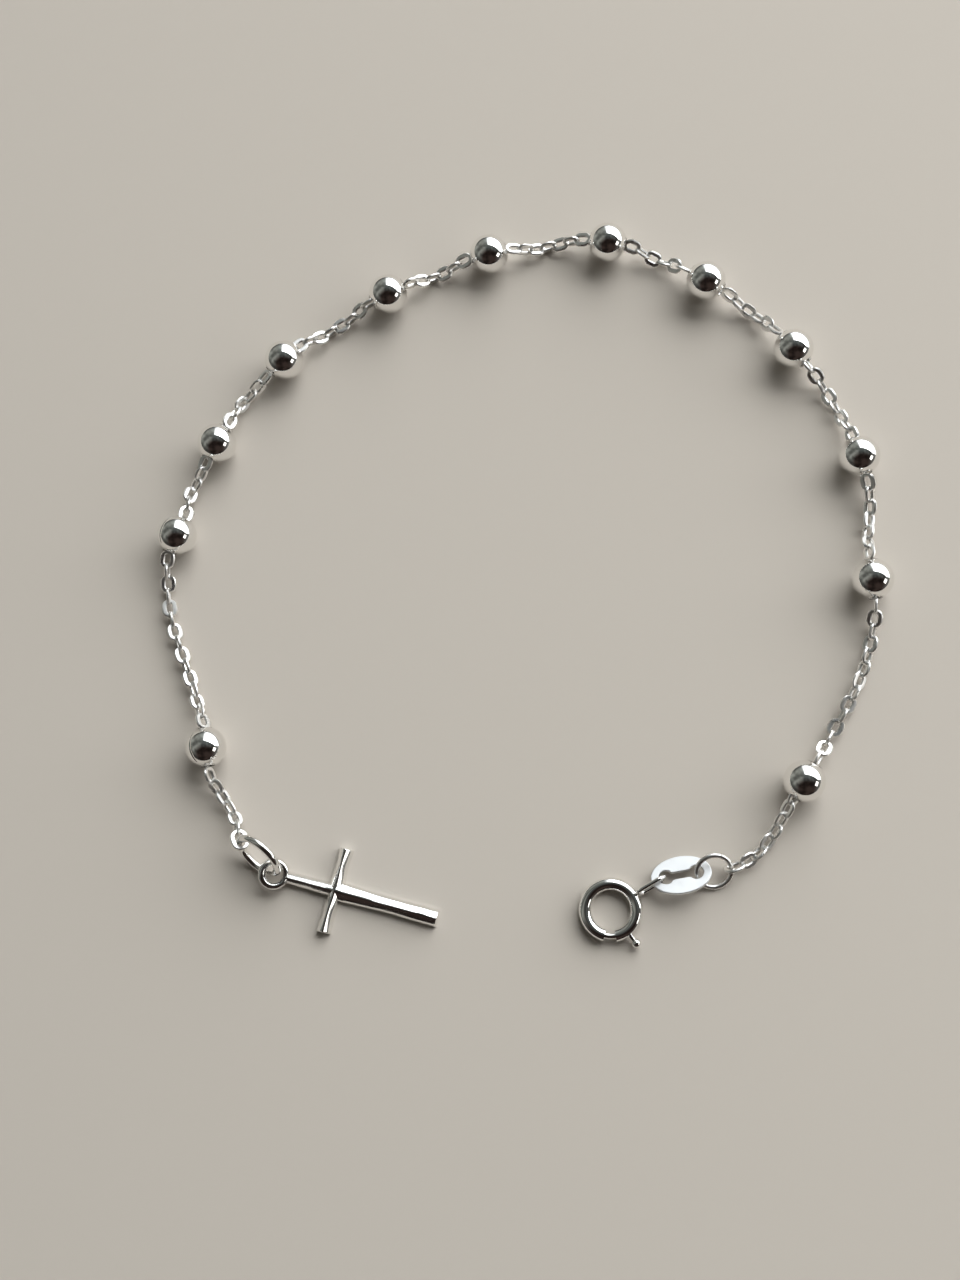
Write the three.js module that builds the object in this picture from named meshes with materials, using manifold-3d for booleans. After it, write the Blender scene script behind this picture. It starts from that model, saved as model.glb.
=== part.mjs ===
// Silver rosary bracelet, unclasped and laid open on a flat surface: twelve round beads on a
// cable chain, a cross on a jump ring at one end, an oval tag and a spring-ring clasp at the other.
// Millimetres, +Z up. The surface is z = 0 and the origin lies under the middle of the bracelet.
import * as THREE from "three";
import { mergeVertices } from "three/addons/utils/BufferGeometryUtils.js";
import Module from "manifold-3d";

const wasm = await Module();
wasm.setup();

// Driving sizes
const BEAD = { diameter: 4, bore: 1.64, sides: 10, bands: 6 };
const LINK = { width: 1.42, wire: 0.34, pitch: 1.28, sides: 10, wireSides: 5 };
const END_LINK = { width: 1.66, extraLength: 0.3 };
const CHAIN = {
  fuse: 0.02, // how deep touching links are pressed together
  leastEntry: 0.1, // how far the last link reaches into a bead at least
  lyingHeight: 0.78, // height of the chain's middle where it lies on the surface
  dropRun: 3.4, // distance over which it comes down from a bead
  ringGap: 0.1, // left between an end link and the ring that it holds
};
const CROSS = {
  x: -14.1,
  y: -24.65,
  heading: -15, // from the top of the upright to its foot
  thickness: 1.1,
  top: { turn: 180, length: 4.95, root: 1.4, waist: 1.28, end: 1.3 },
  foot: { turn: 0, length: 10.4, root: 1.9, waist: 1.66, end: 1.76 },
  left: { turn: 90, length: 4.15, root: 1.45, waist: 1.2, end: 1.45 },
  right: { turn: -90, length: 4.15, root: 1.45, waist: 1.2, end: 1.45 },
  straight: 1, // each bar keeps the width of its root this far from the crossing
};
const BAIL = { outer: 3.1, wire: 0.76, tilt: 22, seat: 0.25 };
const CROSS_RING = { x: -21.25, y: -21.39, outer: 5.36, wire: 0.76, lean: 62.3, leanHeading: 53.5 };
const END_RING = { x: 22.34, y: -22.98, outer: 3.8, wire: 0.48, lean: 30, leanHeading: 100 };
const RING_SIDES = 12;
const TAG = {
  x: 19.24,
  y: -23.34,
  heading: 10,
  length: 5.8,
  width: 3.8,
  thickness: 0.4,
  hole: 1.4,
  holeSpread: 1.45, // from the middle to the middle of each hole
  waist: 0.7, // slot that joins the two holes
  lean: -22, // its far edge is the low one
  lift: 0.15, // the rings hold that edge this far off the surface
};
const CLASP = {
  x: 12.52,
  y: -26.54,
  middle: 4.88, // diameter of the tube's centre line
  tube: 1.2,
  bore: 0.94,
  mouthStart: -105,
  mouthEnd: -80,
  slotStart: -60,
  slotEnd: -17,
  slotWidth: 0.72,
};
const EYE = { heading: 30, tilt: -12, length: 3.5, height: 2, wire: 0.42, start: 2.72 };
const BOLT = { wire: 0.6, tip: -109, tail: -20, trigger: -53, reach: 4.35, post: 0.46, knob: 0.9 };

// Beads in their order along the chain: place on the surface and heading of the drilled hole.
const BEADS = [
  { x: -26.98, y: -10.71, heading: 98 },
  { x: -30.86, y: 11.09, heading: 68.5 },
  { x: -27.07, y: 20.84, heading: 61 },
  { x: -20.29, y: 29.7, heading: 43 },
  { x: -9.46, y: 36.63, heading: 27 },
  { x: 1.12, y: 40.67, heading: 12 },
  { x: 13.44, y: 41.41, heading: -11 },
  { x: 23.41, y: 36.69, heading: -34 },
  { x: 31.89, y: 28.95, heading: -53 },
  { x: 37.81, y: 17.46, heading: -75 },
  { x: 38.44, y: 4.93, heading: -86 },
  { x: 31.01, y: -14.6, heading: -124 },
];

// Stretches of chain in their order, from the cross ring to the end ring: turn of the first link
// about the chain from lying flat, further twist up to the last link, both in degrees, and how far
// the chain sways to the left of the straight way near the start and near the end of the stretch.
const STRETCHES = [
  { turn: 25, twist: 40, swayStart: -0.5, swayEnd: -0.2 },
  { turn: 50, twist: -50, swayStart: 0.65, swayEnd: -0.4 },
  { turn: 20, twist: 60, swayStart: 1.45, swayEnd: -0.25 },
  { turn: 45, twist: 20, swayStart: 0.8, swayEnd: 0 },
  { turn: 0, twist: 0, swayStart: -0.3, swayEnd: -0.1 },
  { turn: 84, twist: 12, swayStart: -0.1, swayEnd: -0.15 },
  { turn: -20, twist: 20, swayStart: -0.4, swayEnd: 0.3 },
  { turn: 50, twist: -20, swayStart: -0.3, swayEnd: 0.2 },
  { turn: 60, twist: -10, swayStart: 0, swayEnd: 0.2 },
  { turn: -55, twist: 10, swayStart: 0.3, swayEnd: -0.1 },
  { turn: 40, twist: 20, swayStart: 0.3, swayEnd: -0.1 },
  { turn: -80, twist: 100, swayStart: -0.15, swayEnd: -0.1 },
  { turn: -50, twist: 21, swayStart: 0.2, swayEnd: 0.2 },
];

const silver = (shade, roughness) =>
  new THREE.MeshStandardMaterial({ color: shade, roughness, metalness: 1 });
const beadSilver = silver(0xdfe0e2, 0.08);
const chainSilver = silver(0xd4d5d6, 0.18);
const castSilver = silver(0xd9dadb, 0.14);
const tagSilver = silver(0xe8e9ea, 0.28);
const claspSilver = silver(0xcfd0d2, 0.12);

const radians = THREE.MathUtils.degToRad;
const UP = new THREE.Vector3(0, 0, 1);

const headingVector = (degrees) =>
  new THREE.Vector3(Math.cos(radians(degrees)), Math.sin(radians(degrees)), 0);

// A closed three.js geometry as a solid that can be joined and cut.
function toSolid(geometry, matrix = new THREE.Matrix4()) {
  const bare = new THREE.BufferGeometry();
  bare.setAttribute("position", geometry.getAttribute("position").clone());
  bare.setIndex(geometry.index);
  bare.applyMatrix4(matrix);
  const merged = mergeVertices(bare, 1e-4);
  const corners = [];
  for (let i = 0; i < merged.index.count; i += 3) {
    const [a, b, c] = merged.index.array.slice(i, i + 3);
    if (a !== b && b !== c && c !== a) corners.push(a, b, c);
  }
  return new wasm.Manifold(
    new wasm.Mesh({
      numProp: 3,
      vertProperties: merged.getAttribute("position").array,
      triVerts: new Uint32Array(corners),
    }),
  );
}

function toGeometry(solid) {
  const mesh = solid.getMesh();
  const geometry = new THREE.BufferGeometry();
  geometry.setAttribute("position", new THREE.BufferAttribute(mesh.vertProperties, 3));
  geometry.setIndex(new THREE.BufferAttribute(mesh.triVerts, 1));
  geometry.computeVertexNormals();
  return geometry;
}

const joined = (solids) => solids.reduce((whole, piece) => whole.add(piece));

// A wire ring in the XY plane; its two halves are pulled apart along X to make an oblong one.
function wireRing(width, wire, wireSides, sides, length = width) {
  const geometry = new THREE.TorusGeometry((width - wire) / 2, wire / 2, wireSides, sides);
  geometry.rotateZ(Math.PI / sides);
  const position = geometry.getAttribute("position");
  for (let i = 0; i < position.count; i++) {
    const x = position.getX(i);
    if (Math.abs(x) > 1e-6) position.setX(i, x + (Math.sign(x) * (length - width)) / 2);
  }
  return geometry;
}

// Height of a leaning ring's middle when its lowest side touches the surface.
const restHeight = (ring) =>
  ((ring.outer - ring.wire) / 2) * Math.sin(radians(ring.lean)) + ring.wire / 2;

// Middle of a facet of a leaning ring's wire, by its angle from the level diameter.
function ringPoint(ring, angle) {
  const radius = ((ring.outer - ring.wire) / 2) * Math.cos(Math.PI / RING_SIDES);
  const level = headingVector(ring.leanHeading - 90);
  const rise = headingVector(ring.leanHeading)
    .multiplyScalar(Math.cos(radians(ring.lean)))
    .addScaledVector(UP, Math.sin(radians(ring.lean)));
  return new THREE.Vector3(ring.x, ring.y, restHeight(ring))
    .addScaledVector(level, radius * Math.cos(radians(angle)))
    .addScaledVector(rise, radius * Math.sin(radians(angle)));
}

function leaningRing(name, ring, material) {
  const mesh = new THREE.Mesh(wireRing(ring.outer, ring.wire, 6, RING_SIDES), material);
  const lean = new THREE.Group();
  mesh.name = name;
  mesh.rotation.x = radians(ring.lean);
  lean.rotation.z = radians(ring.leanHeading - 90);
  lean.position.set(ring.x, ring.y, restHeight(ring));
  lean.add(mesh);
  return lean;
}

// Beads

function beadGeometry() {
  const radius = BEAD.diameter / 2;
  const rim = Math.acos(BEAD.bore / BEAD.diameter);
  const profile = [];
  for (let band = 0; band <= BEAD.bands; band++) {
    const angle = -rim + (2 * rim * band) / BEAD.bands;
    profile.push(new THREE.Vector2(radius * Math.cos(angle), radius * Math.sin(angle)));
  }
  profile.push(profile[0].clone());
  return new THREE.LatheGeometry(profile, BEAD.sides);
}

function makeBeads() {
  const geometry = beadGeometry();
  return BEADS.map((bead, i) => {
    const mesh = new THREE.Mesh(geometry, beadSilver);
    mesh.name = `bead_${String(i + 1).padStart(2, "0")}`;
    mesh.position.set(bead.x, bead.y, BEAD.diameter / 2);
    mesh.rotation.z = radians(bead.heading - 90);
    return mesh;
  });
}

// Chain

// Length of a link that touches its neighbours at a given pitch: the wire's inner flat at each
// end is drawn in by the ring's facets.
function linkLength(pitch) {
  const wireFlat = (LINK.wire / 2) * Math.cos(Math.PI / LINK.wireSides);
  const innerEnd = ((LINK.width - LINK.wire) / 2 - wireFlat) * Math.cos(Math.PI / LINK.sides);
  return pitch - CHAIN.fuse - 2 * innerEnd + LINK.width;
}

// The way of a stretch: straight out of one end, down to the surface and up again to the other.
// At a bead it starts from the bead's middle.
function chainRoute(from, to, stretch) {
  const steps = 40;
  const span = from.point.distanceTo(to.point);
  const plan = new THREE.CubicBezierCurve3(
    from.point,
    from.point.clone().addScaledVector(from.direction, span / 3),
    to.point.clone().addScaledVector(to.direction, -span / 3),
    to.point,
  );
  const points = [];
  for (let i = 0; i <= steps; i++) {
    const share = i / steps;
    const fromEnd = span * Math.min(share, 1 - share);
    const drop = THREE.MathUtils.smoothstep(fromEnd, 0, CHAIN.dropRun);
    const left = new THREE.Vector3().crossVectors(UP, plan.getTangentAt(share));
    const sway = THREE.MathUtils.lerp(stretch.swayStart, stretch.swayEnd, share);
    const point = plan.getPointAt(share).addScaledVector(left, drop * sway);
    points.push(point.setZ(THREE.MathUtils.lerp(point.z, CHAIN.lyingHeight, drop)));
  }
  if (!from.ring) points.unshift(from.centre);
  if (!to.ring) points.push(to.centre);
  return new THREE.CatmullRomCurve3(points);
}

// A link whose middle is at a distance along the route, turned about the chain.
function linkSolid(route, distance, turn, length, width) {
  const share = distance / route.getLength();
  const along = route.getTangentAt(share);
  const side = new THREE.Vector3().crossVectors(UP, along).normalize();
  side.applyAxisAngle(along, radians(turn));
  const normal = new THREE.Vector3().crossVectors(along, side);
  const place = new THREE.Matrix4().makeBasis(along, side, normal);
  place.setPosition(route.getPointAt(share));
  return toSolid(wireRing(width, LINK.wire, LINK.wireSides, LINK.sides, length), place);
}

// Where a stretch leaves or meets a bead, or wraps a ring's wire.
function beadEnd(bead, outward) {
  const direction = headingVector(bead.heading);
  const centre = new THREE.Vector3(bead.x, bead.y, BEAD.diameter / 2);
  const point = centre.clone().addScaledVector(direction, (outward * BEAD.diameter) / 2);
  return { point, direction, centre };
}

function ringEnd(ring, angle, heading) {
  return { point: ringPoint(ring, angle), direction: headingVector(heading), ring };
}

// Link after link along the route. A ring holds the outer end of a longer last link; at a bead
// the last link goes into the hole as far as whole links take it.
function makeStretch(from, to, stretch) {
  const route = chainRoute(from, to, stretch);
  const length = linkLength(LINK.pitch);
  const endLength = length + END_LINK.extraLength;
  const ends = [from, to];
  const reaches = ends.map((end) =>
    end.ring
      ? endLength - length / 2 - LINK.wire - end.ring.wire / 2 - CHAIN.ringGap
      : (BEAD.diameter + length) / 2 - CHAIN.leastEntry,
  );
  const room = route.getLength() - reaches[0] - reaches[1];
  const gaps = Math.ceil(room / LINK.pitch);
  const beadEnds = ends.filter((end) => !end.ring).length;
  const deeper = (gaps * LINK.pitch - room) / beadEnds;
  const start = from.ring ? reaches[0] : reaches[0] - deeper;
  const solids = [];
  for (let i = 0; i <= gaps; i++) {
    const outward = i === 0 && from.ring ? -1 : i === gaps && to.ring ? 1 : 0;
    const distance = start + i * LINK.pitch + (outward * END_LINK.extraLength) / 2;
    const size = outward ? [endLength, END_LINK.width] : [length, LINK.width];
    const turn = stretch.turn + (stretch.twist * i) / gaps + 90 * i;
    solids.push(linkSolid(route, distance, turn, ...size));
  }
  return joined(solids).asOriginal().simplify(0.02);
}

function makeChain() {
  const starts = [ringEnd(CROSS_RING, 180, 118), ...BEADS.map((bead) => beadEnd(bead, 1))];
  const ends = [...BEADS.map((bead) => beadEnd(bead, -1)), ringEnd(END_RING, 0, 197)];
  return starts.map((from, i) => {
    const stretch = makeStretch(from, ends[i], STRETCHES[i]);
    const mesh = new THREE.Mesh(toGeometry(stretch), chainSilver);
    mesh.name = `chain_${String(i + 1).padStart(2, "0")}`;
    return mesh;
  });
}

// Cross

// A half-round bar from the crossing out along X, flat underneath. It narrows from its root and
// flares again at its end.
function flaredBar(bar) {
  const section = new THREE.Shape();
  section.absellipse(0, 0, bar.root / 2, CROSS.thickness, 0, Math.PI);
  const geometry = new THREE.ExtrudeGeometry(section, {
    depth: bar.length,
    steps: 5,
    curveSegments: 5,
    bevelEnabled: false,
  });
  const position = geometry.getAttribute("position");
  for (let i = 0; i < position.count; i++) {
    const along = position.getZ(i);
    const share = Math.max(along - CROSS.straight, 0) / (bar.length - CROSS.straight);
    const narrowing = (bar.waist - bar.root) * THREE.MathUtils.smoothstep(share, 0, 0.5);
    const width = bar.root + narrowing + (bar.end - bar.waist) * share ** 3;
    position.setXYZ(i, along, (position.getX(i) * width) / bar.root, position.getY(i));
  }
  return toSolid(geometry, new THREE.Matrix4().makeRotationZ(radians(bar.turn)));
}

function makeCross() {
  const bars = [CROSS.top, CROSS.foot, CROSS.left, CROSS.right].map(flaredBar);
  const radius = (BAIL.outer - BAIL.wire) / 2;
  const bail = new THREE.Object3D();
  bail.rotation.y = radians(BAIL.tilt);
  bail.position.set(-CROSS.top.length + BAIL.seat, 0, CROSS.thickness / 2);
  bail.translateX(-radius - BAIL.wire / 2);
  bail.updateMatrix();
  const loop = toSolid(wireRing(BAIL.outer, BAIL.wire, 6, 12), bail.matrix);
  const mesh = new THREE.Mesh(toGeometry(joined([...bars, loop])), castSilver);
  mesh.name = "cross";
  mesh.position.set(CROSS.x, CROSS.y, 0);
  mesh.rotation.z = radians(CROSS.heading);
  return mesh;
}

// Tag

function makeTag() {
  const plate = new THREE.Shape();
  plate.absellipse(0, 0, TAG.length / 2, TAG.width / 2, 0, 2 * Math.PI);
  const corner = Math.asin(TAG.waist / TAG.hole);
  const opening = new THREE.Path();
  opening.absarc(TAG.holeSpread, 0, TAG.hole / 2, corner - Math.PI, Math.PI - corner);
  opening.absarc(-TAG.holeSpread, 0, TAG.hole / 2, corner, 2 * Math.PI - corner);
  opening.closePath();
  plate.holes.push(opening);
  const geometry = new THREE.ExtrudeGeometry(plate, {
    depth: TAG.thickness,
    curveSegments: 8,
    bevelEnabled: false,
  });
  geometry.translate(0, 0, -TAG.thickness / 2);
  const mesh = new THREE.Mesh(geometry, tagSilver);
  const lean = new THREE.Group();
  const lowEdge = (TAG.width / 2) * Math.sin(radians(Math.abs(TAG.lean)));
  mesh.name = "tag";
  mesh.rotation.x = radians(TAG.lean);
  lean.rotation.z = radians(TAG.heading);
  lean.position.set(TAG.x, TAG.y, lowEdge + TAG.thickness / 2 + TAG.lift);
  lean.add(mesh);
  return lean;
}

// Clasp

// A wedge of a flat disc between two headings, for cutting the tube.
function wedgeSolid(start, end, inner, height) {
  const reach = CLASP.middle;
  const wedge = new THREE.Shape();
  wedge.absarc(0, 0, reach, radians(start), radians(end), false);
  wedge.absarc(0, 0, inner, radians(end), radians(start), true);
  wedge.closePath();
  const geometry = new THREE.ExtrudeGeometry(wedge, {
    depth: height,
    curveSegments: 5,
    bevelEnabled: false,
  });
  return toSolid(geometry.translate(0, 0, -height / 2));
}

function claspRingSolid() {
  const tube = new THREE.TorusGeometry(CLASP.middle / 2, CLASP.tube / 2, 8, 16);
  const bore = new THREE.TorusGeometry(CLASP.middle / 2, CLASP.bore / 2, 6, 16);
  const eye = wireRing(EYE.height, EYE.wire, 5, 10, EYE.length);
  const eyePlace = new THREE.Object3D();
  eyePlace.rotation.set(radians(90 + EYE.tilt), 0, radians(EYE.heading), "ZYX");
  eyePlace.position
    .copy(headingVector(EYE.heading))
    .multiplyScalar(EYE.start + EYE.length / 2)
    .setZ((EYE.height - CLASP.tube) / 2);
  eyePlace.updateMatrix();
  return toSolid(tube)
    .add(toSolid(eye, eyePlace.matrix))
    .subtract(toSolid(bore))
    .subtract(wedgeSolid(CLASP.mouthStart, CLASP.mouthEnd, CLASP.tube, 2 * CLASP.tube))
    .subtract(wedgeSolid(CLASP.slotStart, CLASP.slotEnd, CLASP.middle / 2, CLASP.slotWidth));
}

function boltSolid() {
  const radius = CLASP.middle / 2;
  const steps = 8;
  const points = [];
  for (let i = 0; i <= steps; i++) {
    const angle = THREE.MathUtils.lerp(BOLT.tip, BOLT.tail, i / steps);
    points.push(headingVector(angle).multiplyScalar(radius));
  }
  const section = new THREE.Shape();
  section.absarc(0, 0, BOLT.wire / 2, 0, 2 * Math.PI);
  const wire = new THREE.ExtrudeGeometry(section, {
    extrudePath: new THREE.CatmullRomCurve3(points),
    steps,
    curveSegments: 3,
  });
  const knobMiddle = BOLT.reach - radius - BOLT.knob / 2;
  const profile = [new THREE.Vector2(0, 0), new THREE.Vector2(BOLT.post / 2, 0)];
  for (let band = 0; band <= 4; band++) {
    const angle = -Math.PI / 4 + (band * 3 * Math.PI) / 16;
    const across = (Math.cos(angle) * BOLT.knob) / 2;
    profile.push(new THREE.Vector2(across, knobMiddle + (Math.sin(angle) * BOLT.knob) / 2));
  }
  const trigger = new THREE.LatheGeometry(profile, 8);
  const place = new THREE.Object3D();
  place.rotation.z = radians(BOLT.trigger - 90);
  place.position.copy(headingVector(BOLT.trigger)).multiplyScalar(radius);
  place.updateMatrix();
  return toSolid(wire).add(toSolid(trigger, place.matrix));
}

function makeClasp() {
  const clasp = new THREE.Group();
  const ring = new THREE.Mesh(toGeometry(claspRingSolid()), claspSilver);
  const bolt = new THREE.Mesh(toGeometry(boltSolid()), claspSilver);
  ring.name = "clasp_ring";
  bolt.name = "clasp_bolt";
  clasp.position.set(CLASP.x, CLASP.y, CLASP.tube / 2);
  clasp.add(ring, bolt);
  return clasp;
}

// The pieces lie where they do on the surface; the layout is then moved over the origin.
const layout = new THREE.Group();
layout.add(...makeBeads(), ...makeChain(), makeCross(), makeTag(), makeClasp());
layout.add(leaningRing("cross_ring", CROSS_RING, castSilver));
layout.add(leaningRing("end_ring", END_RING, chainSilver));

const bounds = new THREE.Box3().setFromObject(layout, true);
const middle = bounds.getCenter(new THREE.Vector3());
layout.position.set(-middle.x, -middle.y, -bounds.min.z);

const bracelet = new THREE.Group();
bracelet.add(layout);

export default bracelet;
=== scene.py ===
# Silver rosary bracelet, unclasped and laid open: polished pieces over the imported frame.
# Shapes are worked out in millimetres and turned into metres when a piece is finished.
import math

import bmesh
import bpy
from mathutils import Matrix, Vector, noise


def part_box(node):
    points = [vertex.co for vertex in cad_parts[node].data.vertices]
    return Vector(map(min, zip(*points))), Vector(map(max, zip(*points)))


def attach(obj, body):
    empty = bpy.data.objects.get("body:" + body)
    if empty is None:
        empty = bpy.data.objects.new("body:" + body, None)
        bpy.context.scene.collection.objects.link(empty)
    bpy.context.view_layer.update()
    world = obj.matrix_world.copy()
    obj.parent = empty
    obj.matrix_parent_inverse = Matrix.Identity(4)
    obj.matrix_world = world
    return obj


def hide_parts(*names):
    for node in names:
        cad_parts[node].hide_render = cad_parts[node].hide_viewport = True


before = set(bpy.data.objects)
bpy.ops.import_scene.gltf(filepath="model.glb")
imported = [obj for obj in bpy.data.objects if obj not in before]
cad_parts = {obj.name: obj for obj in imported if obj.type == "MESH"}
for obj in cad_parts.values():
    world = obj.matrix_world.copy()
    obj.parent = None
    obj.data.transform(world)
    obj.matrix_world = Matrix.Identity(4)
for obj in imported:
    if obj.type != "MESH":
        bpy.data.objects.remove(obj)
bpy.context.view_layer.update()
print("frame loaded:", len(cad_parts), "nodes")

mm = 0.001
weldGap = 0.002  # points closer than this, in millimetres, are one point
hair = 1e-4  # two lengths closer than this, in millimetres, are the same
up = Vector((0, 0, 1))

bead = {
    "diameter": 4.0,
    "bore": 1.34,
    "meridians": 72,
    "bands": 44,
    "rimRound": 0.16,
    "seamWidth": 0.09,
    "seamDepth": 0.035,
    "seamReach": 0.9,  # share of the way to the hole's edges that the seam runs
    "seamSunk": 0.85,  # and that it is sunk
    "places": [  # x, y, heading of the drilled hole, turn of the rolled seam about the hole if it shows
        (-26.98, -10.71, 98, 147),
        (-30.86, 11.09, 68.5, 147),
        (-27.07, 20.84, 61, None),
        (-20.29, 29.7, 43, None),
        (-9.46, 36.63, 27, None),
        (1.12, 40.67, 12, None),
        (13.44, 41.41, -11, None),
        (23.41, 36.69, -34, None),
        (31.89, 28.95, -53, None),
        (37.81, 17.46, -75, None),
        (38.44, 4.93, -86, None),
        (31.01, -14.6, -124, None),
    ],
}

firstLow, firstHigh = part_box("bead_01")
layout = (firstLow + firstHigh) / 2 / mm - Vector((*bead["places"][0][:2], bead["diameter"] / 2))


def onSurface(x, y, z=0):
    return Vector((x, y, z)) + layout


def headingVector(degrees):
    angle = math.radians(degrees)
    return Vector((math.cos(angle), math.sin(angle), 0))


def turned(degrees, axis):
    return Matrix.Rotation(math.radians(degrees), 4, axis)


def smoothStep(value, low, high):
    share = min(max((value - low) / (high - low), 0), 1)
    return share * share * (3 - 2 * share)


# bmesh helpers

def wholeOf(bm):
    return bm.verts[:] + bm.edges[:] + bm.faces[:]


def loopOf(verts):
    inside = set(verts)
    return list(dict.fromkeys(e for v in verts for e in v.link_edges if e.other_vert(v) in inside))


def pointsOf(edges):
    return list(dict.fromkeys(v for e in edges for v in e.verts))


def sectionLoop(bm, radius, sides, place, flat=None):
    made = bmesh.ops.create_circle(bm, cap_ends=False, segments=sides, radius=radius)["verts"]
    if flat:  # the wire's two faces are cut flat
        for v in made:
            v.co.y = min(max(v.co.y, -flat), flat)
    bmesh.ops.transform(bm, matrix=place @ turned(90, "X"), verts=made)
    return loopOf(made)


def sweepRound(bm, edges, centre, degrees, steps):
    made = bmesh.ops.spin(
        bm, geom=edges, cent=centre, axis=up, angle=math.radians(degrees), steps=steps
    )
    return [g for g in made["geom_last"] if isinstance(g, bmesh.types.BMEdge)]


def pushLoop(bm, edges, offset):
    made = bmesh.ops.extrude_edge_only(bm, edges=edges)["geom"]
    fresh = [g for g in made if isinstance(g, bmesh.types.BMVert)]
    bmesh.ops.translate(bm, verts=fresh, vec=offset)
    return loopOf(fresh)


def mergeDoubles(bm):
    bmesh.ops.remove_doubles(bm, verts=bm.verts, dist=weldGap)
    bmesh.ops.recalc_face_normals(bm, faces=bm.faces)


def addShape(target, shape, place=None):
    mesh = bpy.data.meshes.new("shape")
    shape.to_mesh(mesh)
    if place:
        mesh.transform(place)
    target.from_mesh(mesh)
    bpy.data.meshes.remove(mesh)


def combined(first, second, operation, solver="EXACT"):
    pair = []
    for shape in (first, second):
        mesh = bpy.data.meshes.new("shape")
        shape.to_mesh(mesh)
        shape.free()
        pair.append(bpy.data.objects.new("shape", mesh))
        bpy.context.scene.collection.objects.link(pair[-1])
    cut = pair[0].modifiers.new("combine", "BOOLEAN")
    cut.operation = operation
    cut.object = pair[1]
    cut.solver = solver
    result = bmesh.new()
    result.from_object(pair[0], bpy.context.evaluated_depsgraph_get())
    for shape in pair:
        mesh = shape.data
        bpy.data.objects.remove(shape)
        bpy.data.meshes.remove(mesh)
    return result


def roundEdges(bm, edges, offset, segments):
    bmesh.ops.bevel(
        bm,
        geom=edges,
        offset=offset,
        offset_type="OFFSET",
        affect="EDGES",
        segments=segments,
        profile=0.5,
        material=-1,
    )


def finishPiece(name, bm, material, node, body="bracelet", sharpAngle=50):
    mergeDoubles(bm)
    bmesh.ops.transform(bm, matrix=Matrix.Scale(mm, 4), verts=bm.verts)
    mesh = bpy.data.meshes.new(name)
    bm.to_mesh(mesh)
    bm.free()
    mesh.shade_smooth()
    mesh.set_sharp_from_angle(angle=math.radians(sharpAngle))
    mesh.materials.append(material)
    piece = bpy.data.objects.new(name, mesh)
    bpy.context.scene.collection.objects.link(piece)
    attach(piece, body)
    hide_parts(node)
    return piece


# Silver

def linkNodes(tree, *pairs):
    for source, target in pairs:
        tree.links.new(source, target)


def newNode(tree, kind, **values):
    node = tree.nodes.new(kind)
    for key, value in values.items():
        if key in node.inputs:
            node.inputs[key].default_value = value
        else:
            setattr(node, key, value)
    return node


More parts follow.
